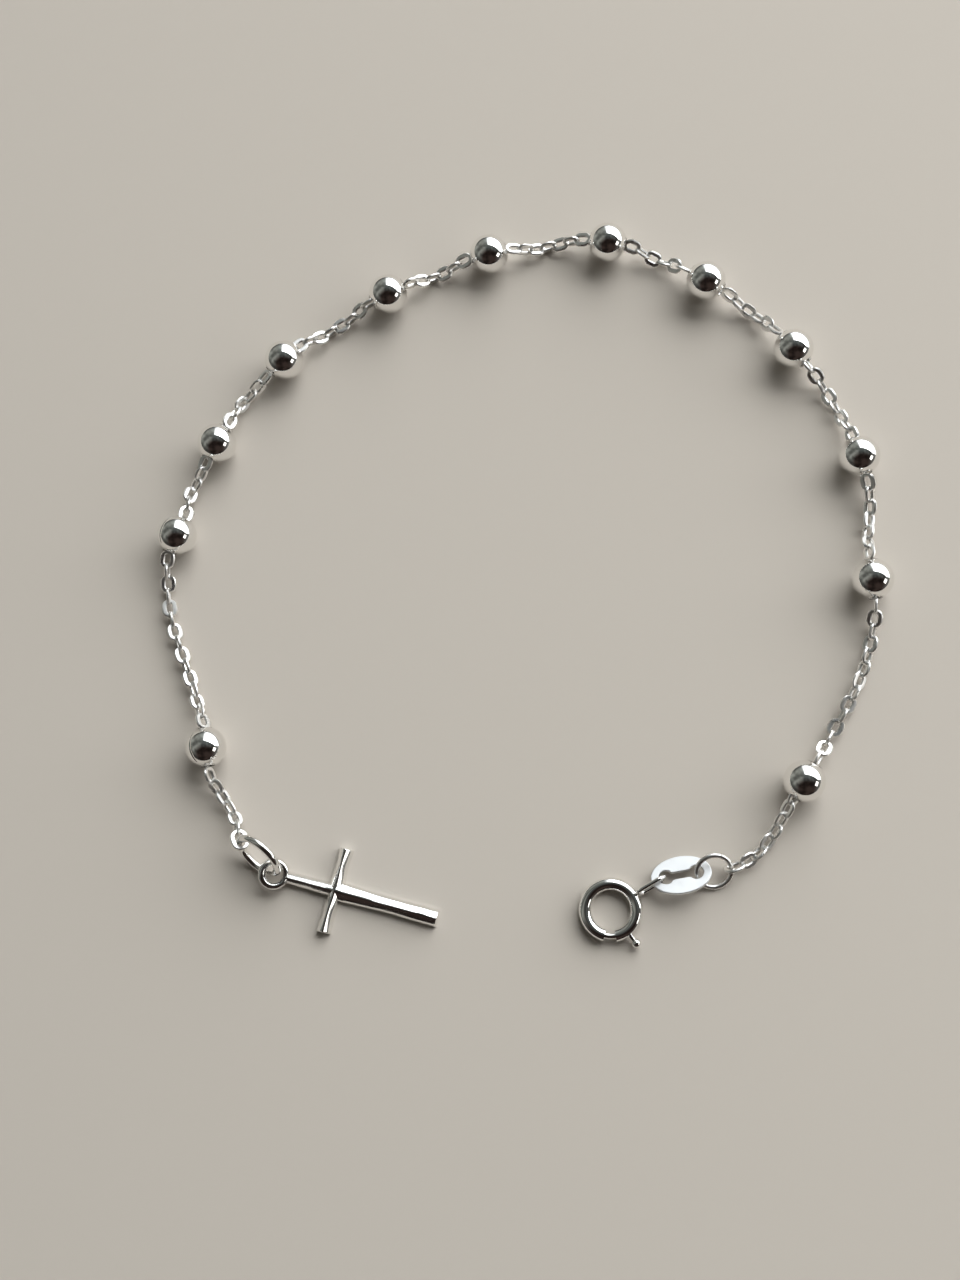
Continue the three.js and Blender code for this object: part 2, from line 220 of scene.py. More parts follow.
def makePolishGroup():
    group = bpy.data.node_groups.new("silverPolish", "ShaderNodeTree")
    face = group.interface
    # The brown Tarnish colour is laid by the occlusion test below. In the pieces' own hollows it is
    # tarnish; where they meet the floor and one another it is painted shade.
    for name, kind, value in (
        ("Silver", "NodeSocketColor", (0.93, 0.92, 0.9, 1)),
        ("Patina And Painted Shade", "NodeSocketColor", (0.3, 0.26, 0.2, 1)),
        ("Patina And Painted Shade Amount", "NodeSocketFloat", 0.5),
        ("Clear Roughness", "NodeSocketFloat", 0.05),
        ("Hazy Roughness", "NodeSocketFloat", 0.12),
        ("Dent Size", "NodeSocketFloat", 1.2),
        ("Dent Depth", "NodeSocketFloat", 1.0),
        ("Line Depth", "NodeSocketFloat", 0.1),
    ):
        face.new_socket(name, in_out="INPUT", socket_type=kind).default_value = value
    for name, kind in (
        ("Color", "NodeSocketColor"),
        ("Roughness", "NodeSocketFloat"),
        ("Height", "NodeSocketFloat"),
    ):
        face.new_socket(name, in_out="OUTPUT", socket_type=kind)
    given = group.nodes.new("NodeGroupInput")
    result = group.nodes.new("NodeGroupOutput")

    place = newNode(group, "ShaderNodeTexCoord")
    inMm = newNode(group, "ShaderNodeVectorMath", operation="SCALE", Scale=1 / mm)
    perDent = newNode(group, "ShaderNodeMath", operation="DIVIDE")
    perDent.inputs[0].default_value = 1
    dents = newNode(group, "ShaderNodeTexNoise", Detail=1.5, Roughness=0.45)
    haze = newNode(group, "ShaderNodeTexNoise", Scale=0.7, Detail=4, Roughness=0.6)
    stretch = newNode(group, "ShaderNodeMapping", Rotation=(0.3, 0.5, 0.6), Scale=(1.2, 16, 16))
    lines = newNode(group, "ShaderNodeTexNoise", Scale=1.0, Detail=3, Roughness=0.65)
    linkNodes(
        group,
        (place.outputs["Object"], inMm.inputs[0]),
        (inMm.outputs[0], dents.inputs["Vector"]),
        (inMm.outputs[0], haze.inputs["Vector"]),
        (inMm.outputs[0], stretch.inputs["Vector"]),
        (stretch.outputs[0], lines.inputs["Vector"]),
        (given.outputs["Dent Size"], perDent.inputs[1]),
        (perDent.outputs[0], dents.inputs["Scale"]),
    )

    # Painted shade: the tarnish colour darkens every spot that has the floor or another surface within
    # half a millimetre. It is tarnish in a piece's hollows, and a painted contact shadow along the edges
    # by the floor and between touching links.
    hollowOrContact = newNode(group, "ShaderNodeAmbientOcclusion", samples=8, Distance=0.5 * mm)
    hollowOrContactShade = newNode(group, "ShaderNodeMapRange")
    hollowOrContactShade.inputs["From Min"].default_value = 0.75
    hollowOrContactShade.inputs["From Max"].default_value = 0.15
    spotted = newNode(group, "ShaderNodeMath", operation="MULTIPLY")
    patinaAndShade = newNode(group, "ShaderNodeMath", operation="MULTIPLY", use_clamp=True)
    patinaAndShadeTint = newNode(group, "ShaderNodeMix", data_type="RGBA")
    linkNodes(
        group,
        (hollowOrContact.outputs["AO"], hollowOrContactShade.inputs["Value"]),
        (hollowOrContactShade.outputs[0], spotted.inputs[0]),
        (haze.outputs["Fac"], spotted.inputs[1]),
        (spotted.outputs[0], patinaAndShade.inputs[0]),
        (given.outputs["Patina And Painted Shade Amount"], patinaAndShade.inputs[1]),
        (patinaAndShade.outputs[0], patinaAndShadeTint.inputs["Factor"]),
        (given.outputs["Silver"], patinaAndShadeTint.inputs["A"]),
        (given.outputs["Patina And Painted Shade"], patinaAndShadeTint.inputs["B"]),
    )
    linkNodes(group, (patinaAndShadeTint.outputs["Result"], result.inputs["Color"]))

    cloud = newNode(group, "ShaderNodeMapRange", interpolation_type="SMOOTHSTEP")
    cloud.inputs["From Min"].default_value = 0.35
    cloud.inputs["From Max"].default_value = 0.75
    linkNodes(
        group,
        (haze.outputs["Fac"], cloud.inputs["Value"]),
        (given.outputs["Clear Roughness"], cloud.inputs["To Min"]),
        (given.outputs["Hazy Roughness"], cloud.inputs["To Max"]),
        (cloud.outputs[0], result.inputs["Roughness"]),
    )

    dentHeight = newNode(group, "ShaderNodeMath", operation="MULTIPLY")
    height = newNode(group, "ShaderNodeMath", operation="MULTIPLY_ADD")
    linkNodes(
        group,
        (dents.outputs["Fac"], dentHeight.inputs[0]),
        (given.outputs["Dent Depth"], dentHeight.inputs[1]),
        (lines.outputs["Fac"], height.inputs[0]),
        (given.outputs["Line Depth"], height.inputs[1]),
        (dentHeight.outputs[0], height.inputs[2]),
        (height.outputs[0], result.inputs["Height"]),
    )
    return group


polishGroup = makePolishGroup()


def makeSilver(name, **values):
    material = bpy.data.materials.new(name)
    material.use_nodes = True
    tree = material.node_tree
    shader = tree.nodes["Principled BSDF"]
    shader.inputs["Metallic"].default_value = 1
    polish = newNode(tree, "ShaderNodeGroup")
    polish.node_tree = polishGroup
    for key, value in values.items():
        polish.inputs[key].default_value = value
    relief = newNode(tree, "ShaderNodeBump", Strength=1, Distance=0.001 * mm)
    linkNodes(
        tree,
        (polish.outputs["Color"], shader.inputs["Base Color"]),
        (polish.outputs["Roughness"], shader.inputs["Roughness"]),
        (polish.outputs["Height"], relief.inputs["Height"]),
        (relief.outputs["Normal"], shader.inputs["Normal"]),
    )
    return material


# depths are in thousandths of a millimetre
beadSilver = makeSilver(
    "bead_silver",
    **{"Clear Roughness": 0.035, "Hazy Roughness": 0.075, "Dent Size": 1.5, "Dent Depth": 5.0},
)
chainSilver = makeSilver(
    "chain_silver",
    **{"Clear Roughness": 0.27, "Hazy Roughness": 0.38, "Dent Size": 0.5, "Dent Depth": 4.0},
)
castSilver = makeSilver(
    "cast_silver",
    **{"Clear Roughness": 0.1, "Hazy Roughness": 0.19, "Dent Size": 1.4, "Dent Depth": 12.0},
)
tagSilver = makeSilver(
    "tag_silver",
    **{
        "Silver": (0.8, 0.81, 0.82, 1),
        "Clear Roughness": 0.42,
        "Hazy Roughness": 0.56,
        "Dent Depth": 2.0,
        "Line Depth": 3.0,
    },
)
claspSilver = makeSilver(
    "clasp_silver",
    **{"Clear Roughness": 0.05, "Hazy Roughness": 0.1, "Dent Size": 1.6, "Dent Depth": 3.0},
)
print("silver finishes made")


# Beads: a sphere cut off at both ends, with the drilled hole joining the cuts

def beadShape(seamTurn):
    bm = bmesh.new()
    radius = bead["diameter"] / 2
    half = math.sqrt(radius**2 - (bead["bore"] / 2) ** 2)
    bmesh.ops.create_uvsphere(
        bm, u_segments=bead["meridians"], v_segments=bead["bands"], radius=radius
    )
    for side in (1, -1):
        bmesh.ops.bisect_plane(
            bm, geom=wholeOf(bm), plane_co=(0, 0, side * half), plane_no=(0, 0, side), clear_outer=True
        )
    if seamTurn is not None:
        cutSeam(bm, seamTurn, half)
    bmesh.ops.bridge_loops(bm, edges=[e for e in bm.edges if e.is_boundary])

    def onRim(edge):
        low, high = (v.co.z for v in edge.verts)
        return abs(low - high) < hair and abs(abs(low) - half) < hair

    roundEdges(bm, [e for e in bm.edges if onRim(e)], bead["rimRound"], 4)
    return bm


def cutSeam(bm, seamTurn, half):
    step = 360 / bead["meridians"]
    wanted = round(seamTurn / step) * step

    def onSeam(v):
        return abs(math.degrees(math.atan2(v.co.y, v.co.x)) - wanted) < 0.1

    reach = bead["seamReach"] * half
    line = [e for e in bm.edges if all(onSeam(v) and abs(v.co.z) < reach for v in e.verts)]
    roundEdges(bm, line, bead["seamWidth"] / 2, 2)
    sunk = [v for v in bm.verts if onSeam(v) and abs(v.co.z) < bead["seamSunk"] * half]
    for v in sunk:
        v.co -= v.co.normalized() * bead["seamDepth"]


for number, (x, y, heading, seamTurn) in enumerate(bead["places"], 1):
    shape = beadShape(seamTurn)
    seat = Matrix.Translation(onSurface(x, y, bead["diameter"] / 2))
    place = seat @ turned(heading, "Z") @ turned(90, "Y")
    bmesh.ops.transform(shape, matrix=place, verts=shape.verts)
    piece = finishPiece(f"polished_bead_{number:02d}", shape, beadSilver, f"bead_{number:02d}")
print("beads made:", len(bead["places"]))


# Jump rings

crossRing = {
    "at": (-21.25, -21.39),
    "outer": 5.36,
    "wire": 0.76,
    "lean": 62.3,
    "leanHeading": 53.5,
    "joint": 305,  # where the wire's two ends meet
    "jointGap": 0.05,
}
endRing = {
    "at": (22.34, -22.98),
    "outer": 3.8,
    "wire": 0.48,
    "lean": 30,
    "leanHeading": 100,
    "joint": 60,
    "jointGap": 0.04,
}


def ringRadius(ring):
    return (ring["outer"] - ring["wire"]) / 2


def ringPlace(ring):
    height = ringRadius(ring) * math.sin(math.radians(ring["lean"])) + ring["wire"] / 2
    stand = turned(ring["leanHeading"] - 90, "Z") @ turned(ring["lean"], "X")
    return Matrix.Translation(onSurface(*ring["at"], height)) @ stand


def jumpRing(ring, sides=20, steps=96):
    bm = bmesh.new()
    radius = ringRadius(ring)
    gap = math.degrees(ring["jointGap"] / radius)
    start = turned(ring["joint"] + gap / 2, "Z") @ Matrix.Translation((radius, 0, 0))
    first = sectionLoop(bm, ring["wire"] / 2, sides, start)
    last = sweepRound(bm, first, (0, 0, 0), 360 - gap, steps)
    for end in (first, last):
        bmesh.ops.contextual_create(bm, geom=end)
    roundEdges(bm, first + last, ring["wire"] * 0.06, 2)
    bmesh.ops.transform(bm, matrix=ringPlace(ring), verts=bm.verts)
    return bm


finishPiece("jump_ring_cross", jumpRing(crossRing), castSilver, "cross_ring")
finishPiece("jump_ring_end", jumpRing(endRing), chainSilver, "end_ring")
print("jump rings made")


# Chain

chain = {
    "width": 1.42,
    "wire": 0.34,
    "seenWire": 0.38,  # the wire as seen, a little fuller than the frame's
    "flat": 0.16,  # half thickness of a link, whose faces are cut flat
    "sideWidening": 0.36,  # the wire is this much broader along a link's sides than at its ends
    "pitch": 1.28,
    "length": 1.88,
    "endWidth": 1.66,
    "endExtra": 0.3,
    "lyingHeight": 0.78,
    "dropRun": 3.4,
    "ringGap": 0.1,
    "ringSides": 12,  # the frame's rings have their wire drawn in by this many facets
    "sharpAngle": 35,
    "startHeading": 118,
    "endHeading": 197,
    "stretches": [  # links, turn of the first, twist up to the last, sway near the start and the end
        (7, 25, 40, -0.5, -0.2),
        (15, 50, -50, 0.65, -0.4),
        (6, 20, 60, 1.45, -0.25),
        (6, 45, 20, 0.8, 0),
        (8, 0, 0, -0.3, -0.1),
        (6, 84, 12, -0.1, -0.15),
        (7, -20, 20, -0.4, 0.3),
        (6, 50, -20, -0.3, 0.2),
        (6, 60, -10, 0, 0.2),
        (8, -55, 10, 0.3, -0.1),
        (7, 40, 20, 0.3, -0.1),
        (14, -80, 100, -0.15, -0.1),
        (8, -50, 21, 0.2, 0.2),
    ],
}


def linkShape(length, width):
    bm = bmesh.new()
    radius = (width - chain["seenWire"]) / 2
    half = (length - width) / 2
    start = Matrix.Translation((half, -radius, 0)) @ turned(-90, "Z")
    edges = sectionLoop(bm, chain["seenWire"] / 2, 10, start, chain["flat"])
    for side in (1, -1):
        edges = sweepRound(bm, edges, (side * half, 0, 0), 180, 10)
        edges = pushLoop(bm, edges, (-side * 2 * half, 0, 0))
    mergeDoubles(bm)
    for v in bm.verts:
        middle = Vector((min(max(v.co.x, -half), half), 0, 0))
        out = (v.co - middle).to_2d().to_3d()
        broader = chain["sideWidening"] * (out.y / out.length) ** 2
        v.co += out.normalized() * (out.length - radius) * broader
    return bm


class Route:
    # a line through points, by distance along it
    def __init__(self, points):
        self.points = points
        self.marks = [0]
        for a, b in zip(points, points[1:]):
            self.marks.append(self.marks[-1] + (b - a).length)
        self.length = self.marks[-1]

    def at(self, distance):
        i = 1
        while i < len(self.marks) - 1 and self.marks[i] < distance:
            i += 1
        share = (distance - self.marks[i - 1]) / (self.marks[i] - self.marks[i - 1])
        return self.points[i - 1].lerp(self.points[i], share)

    def tangent(self, distance, reach=0.12):
        low = max(distance - reach, 0)
        high = min(distance + reach, self.length)
        return (self.at(high) - self.at(low)).normalized()


def bezierRoute(a, b, c, d, steps=200):
    points = []
    for i in range(steps + 1):
        t = i / steps
        points.append((1 - t) ** 3 * a + 3 * (1 - t) ** 2 * t * b + 3 * (1 - t) * t**2 * c + t**3 * d)
    return Route(points)


def beadEnd(x, y, heading, outward):
    centre = onSurface(x, y, bead["diameter"] / 2)
    way = headingVector(heading)
    return {"point": centre + way * outward * bead["diameter"] / 2, "way": way, "centre": centre}


def ringEnd(ring, angle, heading):
    radius = ringRadius(ring) * math.cos(math.pi / chain["ringSides"])
    point = ringPlace(ring) @ (headingVector(angle) * radius)
    return {"point": point, "way": headingVector(heading), "ring": ring}


def chainRoute(start, end, swayStart, swayEnd, steps=40):
    span = (end["point"] - start["point"]).length
    plan = bezierRoute(
        start["point"],
        start["point"] + start["way"] * span / 3,
        end["point"] - end["way"] * span / 3,
        end["point"],
    )
    points = []
    for i in range(steps + 1):
        share = i / steps
        drop = smoothStep(span * min(share, 1 - share), 0, chain["dropRun"])
        left = up.cross(plan.tangent(share * plan.length, 0.02))
        sway = swayStart + (swayEnd - swayStart) * share
        point = plan.at(share * plan.length) + left * drop * sway
        point.z += (chain["lyingHeight"] - point.z) * drop
        points.append(point)
    if "centre" in start:
        points.insert(0, start["centre"])
    if "centre" in end:
        points.append(end["centre"])
    return Route(points)


def linkPlace(route, distance, turn):
    along = route.tangent(distance)
    side = up.cross(along).normalized()
    side.rotate(Matrix.Rotation(math.radians(turn), 3, along))
    place = Matrix((along, side, along.cross(side))).transposed().to_4x4()
    place.translation = route.at(distance)
    return place


plainLink = linkShape(chain["length"], chain["width"])
endLink = linkShape(chain["length"] + chain["endExtra"], chain["endWidth"])


def chainStretch(start, end, links, turn, twist, swayStart, swayEnd):
    route = chainRoute(start, end, swayStart, swayEnd)
    run = (links - 1) * chain["pitch"]
    ringReach = chain["length"] / 2 + chain["endExtra"] - chain["wire"] - chain["ringGap"]
    if "ring" in start:
        first = ringReach - start["ring"]["wire"] / 2
    elif "ring" in end:
        first = route.length - ringReach + end["ring"]["wire"] / 2 - run
    else:
        first = (route.length - run) / 2
    bm = bmesh.new()
    for i in range(links):
        outward = -1 if i == 0 and "ring" in start else 1 if i == links - 1 and "ring" in end else 0
        distance = first + i * chain["pitch"] + outward * chain["endExtra"] / 2
        place = linkPlace(route, distance, turn + twist * i / (links - 1) + 90 * i)
        addShape(bm, endLink if outward else plainLink, place)
    return bm


starts = [ringEnd(crossRing, 180, chain["startHeading"])] + [beadEnd(*p[:3], 1) for p in bead["places"]]
ends = [beadEnd(*p[:3], -1) for p in bead["places"]] + [ringEnd(endRing, 0, chain["endHeading"])]
for number, (start, end, stretch) in enumerate(zip(starts, ends, chain["stretches"]), 1):
    shape = chainStretch(start, end, *stretch)
    name = f"chain_{number:02d}"
    piece = finishPiece(f"cable_{name}", shape, chainSilver, name, sharpAngle=chain["sharpAngle"])
plainLink.free()
endLink.free()
print("chain made:", sum(s[0] for s in chain["stretches"]), "links")


# Cross

cross = {
    "at": (-14.1, -24.65),
    "heading": -15,
    "thickness": 1.1,
    "shoulder": 0.56,  # height of a bar's sides, above which it slopes up to its ridge
    "ridgeRound": 0.14,
    "straight": 1.0,  # the bars keep the width of their roots this far from the middle
    "bars": {  # turn, length, and widths at the root, along the bar and at its end
        "foot": (0, 10.4, 1.9, 1.66, 1.76),
        "left": (90, 4.15, 1.45, 1.2, 1.45),
        "top": (180, 4.95, 1.4, 1.28, 1.3),
        "right": (270, 4.15, 1.45, 1.2, 1.45),
    },
    "sides": 56,
    "steps": 24,
    "endRound": 0.12,
    "endSteps": 4,
    "unevenness": 0.045,
    "unevenSeed": 3,
}
bail = {"outer": 3.1, "wire": 0.76, "tilt": 22, "seat": 0.25}


def barHeight(across):
    # height of a bar's top, from its ridge at 0 to its rounded edges at -1 and 1
    soft = cross["ridgeRound"]
    fall = (math.hypot(across, soft) - soft) / (math.hypot(1, soft) - soft)
    roof = cross["thickness"] - (cross["thickness"] - cross["shoulder"]) * fall
    return roof * math.sqrt(max(1 - across**8, 0))


def crossBar(length, root, waist, end, neighbours):
    # a ridged bar from the middle out along X, mitred against the bars to its left and right
    bm = bmesh.new()
    made = bmesh.ops.create_circle(bm, cap_ends=False, segments=cross["sides"], radius=1)["verts"]
    for v in made:
        v.co = Vector((0, v.co.x * root / 2, barHeight(v.co.x) if v.co.y > 1e-6 else 0))
    edges = pushLoop(bm, loopOf(made), (cross["straight"], 0, 0))
    step = (length - cross["straight"] - cross["endRound"]) / cross["steps"]
    width = root
    for i in range(1, cross["steps"] + 1):
        share = i / cross["steps"]
        wanted = root + (waist - root) * smoothStep(share, 0, 0.5) + (end - waist) * share**3
        edges = pushLoop(bm, edges, (step, 0, 0))
        bmesh.ops.scale(bm, vec=(1, wanted / width, 1), verts=pointsOf(edges))
        width = wanted
    reach, sink = 0, 0
    for i in range(1, cross["endSteps"] + 1):  # the end is rounded over
        angle = math.pi / 2 * i / cross["endSteps"]
        further = cross["endRound"] * math.sin(angle)
        deeper = cross["endRound"] * (1 - math.cos(angle))
        edges = pushLoop(bm, edges, (further - reach, 0, 0))
        slimmer = (end / 2 - deeper) / (end / 2 - sink)
        lower = (cross["thickness"] - deeper) / (cross["thickness"] - sink)
        bmesh.ops.scale(bm, vec=(1, slimmer, lower), verts=pointsOf(edges))
        reach, sink = further, deeper
    bmesh.ops.contextual_create(bm, geom=edges)
    for side, neighbour in zip((1, -1), neighbours):
        away = Vector((-root / neighbour, side, 0)).normalized()
        bmesh.ops.bisect_plane(bm, geom=wholeOf(bm), plane_co=(0, 0, 0), plane_no=away, clear_outer=True)
    return bm


def crossShape():
    whole = bmesh.new()
    bars = list(cross["bars"].values())
    for i, (turn, length, root, waist, end) in enumerate(bars):
        neighbours = bars[(i + 1) % 4][2], bars[i - 1][2]
        bar = crossBar(length, root, waist, end, neighbours)
        addShape(whole, bar, turned(turn, "Z"))
        bar.free()
    mergeDoubles(whole)
    noise.seed_set(cross["unevenSeed"])
    for v in whole.verts:  # the casting is a little uneven on top
        lift = smoothStep(v.co.z, 0, 0.4 * cross["thickness"])
        v.co += noise.noise_vector(v.co * 0.55) * cross["unevenness"] * lift
    loop = bmesh.new()
    radius = (bail["outer"] - bail["wire"]) / 2
    edges = sectionLoop(loop, bail["wire"] / 2, 20, Matrix.Translation((radius, 0, 0)))
    bmesh.ops.spin(
        loop, geom=edges, cent=(0, 0, 0), axis=up, angle=2 * math.pi, steps=64, use_merge=True
    )
    mergeDoubles(loop)
    topLength = cross["bars"]["top"][1]
    seat = Matrix.Translation((bail["seat"] - topLength, 0, cross["thickness"] / 2))
    reach = Matrix.Translation((-radius - bail["wire"] / 2, 0, 0))
    bmesh.ops.transform(loop, matrix=seat @ turned(bail["tilt"], "Y") @ reach, verts=loop.verts)
    return combined(whole, loop, "UNION", "MANIFOLD")


shape = crossShape()
place = Matrix.Translation(onSurface(*cross["at"])) @ turned(cross["heading"], "Z")
bmesh.ops.transform(shape, matrix=place, verts=shape.verts)
finishPiece("cast_cross", shape, castSilver, "cross", sharpAngle=28)
print("cross made")


# Tag

tag = {
    "at": (19.24, -23.34),
    "heading": 10,
    "length": 5.8,
    "width": 3.8,
    "thickness": 0.4,
    "hole": 1.4,
    "holeSpread": 1.45,
    "waist": 0.7,
    "lean": -22,
    "lift": 0.15,
    "edgeRound": 0.07,
    "cuspRound": 0.3,
}


def isCusp(edge):
    # an upright edge where the slot runs into a hole
    a, b = (v.co for v in edge.verts)
    upright = (a - b).to_2d().length < hair
    return upright and abs(abs(a.y) - tag["waist"] / 2) < 0.02 and edge.calc_face_angle() > 0.4


def isRim(edge):
    # an edge between a face of the plate and its side
    a, b = (v.co for v in edge.verts)
    level = abs(a.z - b.z) < hair
    return level and len(edge.link_faces) == 2 and edge.calc_face_angle() > 1.2


def tagShape():
    plate = bmesh.new()
    outline = bmesh.ops.create_circle(plate, cap_ends=True, segments=96, radius=1)["verts"]
    bmesh.ops.scale(plate, vec=(tag["length"] / 2, tag["width"] / 2, 1), verts=outline)
    made = bmesh.ops.extrude_face_region(plate, geom=plate.faces[:])["geom"]
    top = [g for g in made if isinstance(g, bmesh.types.BMVert)]
    bmesh.ops.translate(plate, verts=top, vec=(0, 0, tag["thickness"]))
    bmesh.ops.translate(plate, verts=plate.verts, vec=(0, 0, -tag["thickness"] / 2))
    mergeDoubles(plate)
    for side in (1, -1):
        hole = bmesh.new()
        bmesh.ops.create_cone(
            hole, cap_ends=True, segments=48, radius1=tag["hole"] / 2, radius2=tag["hole"] / 2, depth=2
        )
        bmesh.ops.translate(hole, verts=hole.verts, vec=(side * tag["holeSpread"], 0, 0))
        plate = combined(plate, hole, "DIFFERENCE")
    slot = bmesh.new()
    bmesh.ops.create_cube(slot, size=1)
    bmesh.ops.scale(slot, vec=(2 * tag["holeSpread"], tag["waist"], 2), verts=slot.verts)
    plate = combined(plate, slot, "DIFFERENCE")
    mergeDoubles(plate)
    cusps = [e for e in plate.edges if isCusp(e)]
    roundEdges(plate, cusps, tag["cuspRound"], 4)
    rims = [e for e in plate.edges if isRim(e)]
    roundEdges(plate, rims, tag["edgeRound"], 2)
    return plate


shape = tagShape()
lowEdge = tag["width"] / 2 * math.sin(math.radians(abs(tag["lean"])))
seat = Matrix.Translation(onSurface(*tag["at"], lowEdge + tag["thickness"] / 2 + tag["lift"]))
place = seat @ turned(tag["heading"], "Z") @ turned(tag["lean"], "X")
bmesh.ops.transform(shape, matrix=place, verts=shape.verts)
finishPiece("oval_tag", shape, tagSilver, "tag", sharpAngle=20)
print("tag made")


# Clasp

clasp = {
    "at": (12.52, -26.54),
    "middle": 4.88,
    "tube": 1.2,
    "bore": 0.94,
    "mouthStart": -105,
    "mouthEnd": -80,
    "slotStart": -60,
    "slotEnd": -17,
    "slotHalfTurn": 37,  # how far round the tube the slot reaches from the outer side
    "sides": 40,
    "steps": 134,
}
eye = {"heading": 30, "tilt": -12, "length": 3.5, "height": 2.0, "wire": 0.42, "start": 2.72}
bolt = {
    "wire": 0.6,
    "tipRound": 0.12,
    "tip": -109,
    "tail": -20,
    "trigger": -53,
    "reach": 4.35,
    "post": 0.46,
    "knob": 0.9,
}
claspPlace = Matrix.Translation(onSurface(*clasp["at"], clasp["tube"] / 2))


def claspTube():
    bm = bmesh.new()
    radius = clasp["middle"] / 2
    start = turned(clasp["mouthEnd"], "Z") @ Matrix.Translation((radius, 0, 0))
    run = 360 + clasp["mouthStart"] - clasp["mouthEnd"]
    first = sectionLoop(bm, clasp["tube"] / 2, clasp["sides"], start)
    sweepRound(bm, first, (0, 0, 0), run, clasp["steps"])

    def inSlot(face):
        middle = face.calc_center_median()
        across = math.hypot(middle.x, middle.y) - radius
        around = math.degrees(math.atan2(middle.y, middle.x))
        tilt = abs(math.degrees(math.atan2(middle.z, across)))
        return clasp["slotStart"] < around < clasp["slotEnd"] and tilt < clasp["slotHalfTurn"]

    bmesh.ops.delete(bm, geom=[f for f in bm.faces if inSlot(f)], context="FACES")
    mergeDoubles(bm)
    wall = (clasp["tube"] - clasp["bore"]) / 2
    bmesh.ops.solidify(bm, geom=bm.faces[:], thickness=wall)
    return bm


def eyeShape():
    bm = bmesh.new()
    radius = (eye["height"] - eye["wire"]) / 2
    half = (eye["length"] - eye["height"]) / 2
    start = Matrix.Translation((half, -radius, 0)) @ turned(-90, "Z")
    edges = sectionLoop(bm, eye["wire"] / 2, 14, start)
    for side in (1, -1):
        edges = sweepRound(bm, edges, (side * half, 0, 0), 180, 20)
        edges = pushLoop(bm, edges, (-side * 2 * half, 0, 0))
    mergeDoubles(bm)
    out = headingVector(eye["heading"]) * (eye["start"] + eye["length"] / 2)
    lift = (eye["height"] - clasp["tube"]) / 2
    seat = Matrix.Translation(out + up * lift)
    place = seat @ turned(eye["heading"], "Z") @ turned(90 + eye["tilt"], "X")
    bmesh.ops.transform(bm, matrix=place, verts=bm.verts)
    return bm


def boltShape():
    wire = bmesh.new()
    radius = clasp["middle"] / 2
    start = turned(bolt["tip"], "Z") @ Matrix.Translation((radius, 0, 0))
    first = sectionLoop(wire, bolt["wire"] / 2, 20, start)
    last = sweepRound(wire, first, (0, 0, 0), bolt["tail"] - bolt["tip"], 40)
    for end in (first, last):
        bmesh.ops.contextual_create(wire, geom=end)
    roundEdges(wire, first + last, bolt["tipRound"], 4)
    mergeDoubles(wire)
    trigger = bmesh.new()
    knobMiddle = bolt["reach"] - radius - bolt["knob"] / 2
    bmesh.ops.create_uvsphere(trigger, u_segments=28, v_segments=18, radius=bolt["knob"] / 2)
    bmesh.ops.translate(trigger, verts=trigger.verts, vec=(0, 0, knobMiddle))
    post = bmesh.new()
    thick = bolt["post"] / 2
    bmesh.ops.create_cone(
        post, cap_ends=True, segments=24, radius1=thick, radius2=thick, depth=knobMiddle
    )
    bmesh.ops.translate(post, verts=post.verts, vec=(0, 0, knobMiddle / 2))
    trigger = combined(trigger, post, "UNION")
    aim = turned(bolt["trigger"], "Z") @ Matrix.Translation((radius, 0, 0)) @ turned(90, "Y")
    bmesh.ops.transform(trigger, matrix=aim, verts=trigger.verts)
    return combined(wire, trigger, "UNION")


shape = combined(claspTube(), eyeShape(), "UNION", "MANIFOLD")
bmesh.ops.transform(shape, matrix=claspPlace, verts=shape.verts)
finishPiece("spring_ring", shape, claspSilver, "clasp_ring")
shape = boltShape()
bmesh.ops.transform(shape, matrix=claspPlace, verts=shape.verts)
finishPiece("spring_ring_bolt", shape, claspSilver, "clasp_bolt", body="bolt")
print("clasp made")


# Floor, light and camera

stage = {
    "floorSize": 3.0,
    "floorColor": (0.56, 0.515, 0.46, 1),
    "backdrop": (0.62, 0.6, 0.57, 1),
    "lights": {  # place, facing, width, height, brightness, colour, whether the silver mirrors it
        "window": ((1.65, 0.52, 0.75), (-0.174, -0.985, 0), 3.74, 1.48, 3.2, (0.95, 0.98, 1.0), True),
        "fill": ((1.65, 0.53, 0.75), (-0.174, -0.985, 0), 3.74, 1.48, 2.5, (1, 0.99, 0.97), False),
        "lamp": ((0.869, -0.282, 0.407), (-0.869, 0.282, -0.407), 0.36, 0.28, 2.6, (1, 0.98, 0.94), True),
    },
    "room": {  # what the silver mirrors: direction, where the shade begins and is full, shade
        "walls": ((0, 0, 1), -3, -2, (0.085, 0.085, 0.08, 1)),
        "ceiling by the window": ((0.1, 0.6, 0.8), 0.5, 0.95, (0.17, 0.19, 0.185, 1)),
        "left wall": ((-0.85, 0.3, 0.45), 0.35, 0.95, (0.16, 0.165, 0.15, 1)),
        "viewer": ((0.1, -0.75, 0.65), 0.3, 0.85, (0.02, 0.014, 0.012, 1)),
    },
    "edgeFade": 0.09,  # how far the lights fade in from their edges
    "roomClutter": 1.8,  # how much the room's shades vary
}


def makeFloor():
    bm = bmesh.new()
    bmesh.ops.create_grid(bm, x_segments=1, y_segments=1, size=stage["floorSize"] / 2)
    mesh = bpy.data.meshes.new("floor")
    bm.to_mesh(mesh)
    bm.free()
    floor = bpy.data.objects.new("floor", mesh)
    bpy.context.scene.collection.objects.link(floor)
    material = bpy.data.materials.new("pale_floor")
    material.use_nodes = True
    shader = material.node_tree.nodes["Principled BSDF"]
    shader.inputs["Base Color"].default_value = stage["floorColor"]
    shader.inputs["Roughness"].default_value = 0.85
    shader.inputs["Specular IOR Level"].default_value = 0.2
    mesh.materials.append(material)


